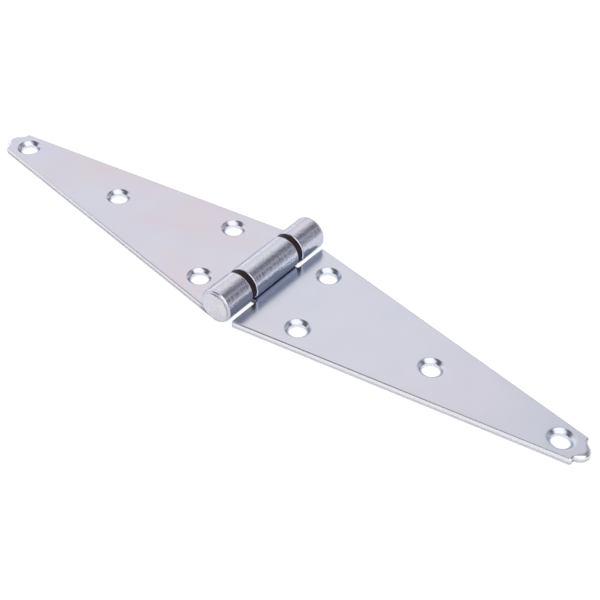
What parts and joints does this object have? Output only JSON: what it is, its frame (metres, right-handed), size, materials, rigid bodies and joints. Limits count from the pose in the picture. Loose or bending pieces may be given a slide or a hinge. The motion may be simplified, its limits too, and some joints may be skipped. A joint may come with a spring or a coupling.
{
  "type": "strap hinge",
  "caption": "Zinc-plated steel strap hinge with two long tapered leaves, a rolled three-knuckle barrel, dark washers and a riveted pin.",
  "frame": {"origin": "under the middle of the barrel, in the plane that both leaves' undersides lie in when the hinge is open flat", "axes": "+X along the swing leaf, +Y along the pin, +Z from the undersides of the leaves towards the barrel"},
  "size_m": [0.304, 0.065, 0.0148],
  "materials": {
    "zinc_sheet": "bright zinc plating, satin, faintly iridescent",
    "zinc_pin": "bright zinc plating, smooth",
    "dark_washer": "dark brown, dull"
  },
  "bodies": {
    "fixed_side": {"fixed_leaf": "zinc_sheet", "hinge_pin": "zinc_pin"},
    "swing_side": {"swing_leaf": "zinc_sheet"},
    "front_washer_side": {"front_washer": "dark_washer"},
    "back_washer_side": {"back_washer": "dark_washer"}
  },
  "joints": [
    {"name": "leaf_fold", "type": "hinge", "parent": "fixed_side", "child": "swing_side", "pos_m": [0, 0, 0.0074], "axis": [0, -1, 0], "range_deg": [-82, 180]},
    {"name": "front_washer_spin", "type": "hinge", "parent": "fixed_side", "child": "front_washer_side", "pos_m": [0, 0, 0.0074], "axis": [0, 1, 0], "continuous": true},
    {"name": "back_washer_spin", "type": "hinge", "parent": "fixed_side", "child": "back_washer_side", "pos_m": [0, 0, 0.0074], "axis": [0, 1, 0], "continuous": true}
  ]
}
